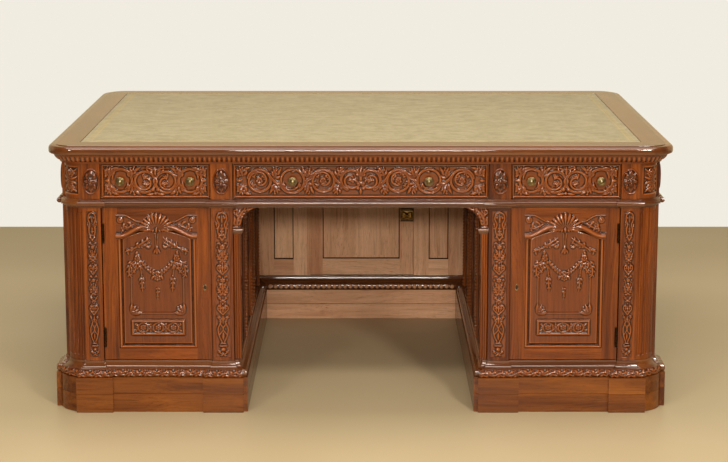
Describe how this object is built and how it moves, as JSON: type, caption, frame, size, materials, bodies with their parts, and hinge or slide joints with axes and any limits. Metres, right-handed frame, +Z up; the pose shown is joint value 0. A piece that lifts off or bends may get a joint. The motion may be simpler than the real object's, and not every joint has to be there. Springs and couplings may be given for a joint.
{
  "type": "pedestal desk",
  "caption": "Carved wooden pedestal desk with a leather writing surface, frieze drawers, cupboard doors in both pedestals, fluted corner columns and a kneehole with a small door.",
  "frame": {"origin": "on the floor under the middle of the top", "axes": "+X to the sitter's right along the width, +Y from the sitter's side to the visitor's side, +Z up"},
  "size_m": [1.83, 1.22, 0.8],
  "materials": {
    "mahogany": "glossy varnish",
    "drawer_lining": "plain planed",
    "leather": "smooth, gold tooled",
    "knob_brass": "antique",
    "lock_brass": "aged"
  },
  "bodies": {
    "left_drawer": {"left_drawer_front": "mahogany", "left_drawer_box": "drawer_lining", "left_drawer_knobs": "knob_brass"},
    "centre_drawer": {"centre_drawer_front": "mahogany", "centre_drawer_box": "drawer_lining", "centre_drawer_knobs": "knob_brass"},
    "right_drawer": {"right_drawer_front": "mahogany", "right_drawer_box": "drawer_lining", "right_drawer_knobs": "knob_brass"},
    "left_door": {"left_door_frame": "mahogany", "left_door_panel": "mahogany", "left_door_crest": "mahogany", "left_door_hardware": "lock_brass"},
    "left_bolt": {"left_lock_bolt": "lock_brass"},
    "right_door": {"right_door_frame": "mahogany", "right_door_panel": "mahogany", "right_door_crest": "mahogany", "right_door_hardware": "lock_brass"},
    "right_bolt": {"right_lock_bolt": "lock_brass"},
    "kneehole_door": {"kneehole_door_frame": "mahogany", "kneehole_door_panel": "mahogany", "kneehole_door_hardware": "lock_brass"},
    "kneehole_bolt": {"kneehole_lock_bolt": "lock_brass"},
    "desk": {"left_plinth": "mahogany", "left_base_moulding": "mahogany", "left_outer_side": "mahogany", "left_pedestal_back": "mahogany", "left_corner_columns": "mahogany", "left_pilasters": "mahogany", "left_carcass_boards": "mahogany", "left_shelf": "drawer_lining", "right_plinth": "mahogany", "right_base_moulding": "mahogany", "right_outer_side": "mahogany", "right_pedestal_back": "mahogany", "right_corner_columns": "mahogany", "right_pilasters": "mahogany", "right_carcass_boards": "mahogany", "right_shelf": "drawer_lining", "pilaster_carvings": "mahogany", "kneehole_base": "mahogany", "kneehole_strips": "mahogany", "kneehole_brackets": "mahogany", "kneehole_beads": "mahogany", "kneehole_fixed_panels": "mahogany", "waist_moulding": "mahogany", "frieze_corner_posts": "mahogany", "frieze_stiles": "mahogany", "frieze_panels": "mahogany", "rosettes": "mahogany", "cornice_moulding": "mahogany", "desktop": "mahogany", "frame_rails": "drawer_lining", "locating_dowels": "drawer_lining", "drawer_partitions": "drawer_lining", "drawer_runners": "drawer_lining", "shelf_pins": "lock_brass", "fixed_hinge_leaves": "lock_brass", "writing_leather": "leather"}
  },
  "joints": [
    {"name": "left_drawer_slide", "type": "slide", "parent": "desk", "child": "left_drawer", "axis": [0, -1, 0], "range_m": [0, 0.36]},
    {"name": "centre_drawer_slide", "type": "slide", "parent": "desk", "child": "centre_drawer", "axis": [0, -1, 0], "range_m": [0, 0.36]},
    {"name": "right_drawer_slide", "type": "slide", "parent": "desk", "child": "right_drawer", "axis": [0, -1, 0], "range_m": [0, 0.36]},
    {"name": "left_door_hinge", "type": "hinge", "parent": "desk", "child": "left_door", "pos_m": [-0.7565, -0.574, 0.3795], "axis": [0, 0, -1], "range_deg": [0, 110]},
    {"name": "left_bolt_slide", "type": "slide", "parent": "left_door", "child": "left_bolt", "axis": [1, 0, 0], "range_m": [0, 0.008]},
    {"name": "right_door_hinge", "type": "hinge", "parent": "desk", "child": "right_door", "pos_m": [0.7565, -0.574, 0.3795], "axis": [0, 0, 1], "range_deg": [0, 110]},
    {"name": "right_bolt_slide", "type": "slide", "parent": "right_door", "child": "right_bolt", "axis": [-1, 0, 0], "range_m": [0, 0.008]},
    {"name": "kneehole_door_hinge", "type": "hinge", "parent": "desk", "child": "kneehole_door", "pos_m": [-0.1825, 0.511, 0.3795], "axis": [0, 0, 1], "range_deg": [0, 100]},
    {"name": "kneehole_bolt_slide", "type": "slide", "parent": "kneehole_door", "child": "kneehole_bolt", "axis": [1, 0, 0], "range_m": [0, 0.008]}
  ]
}
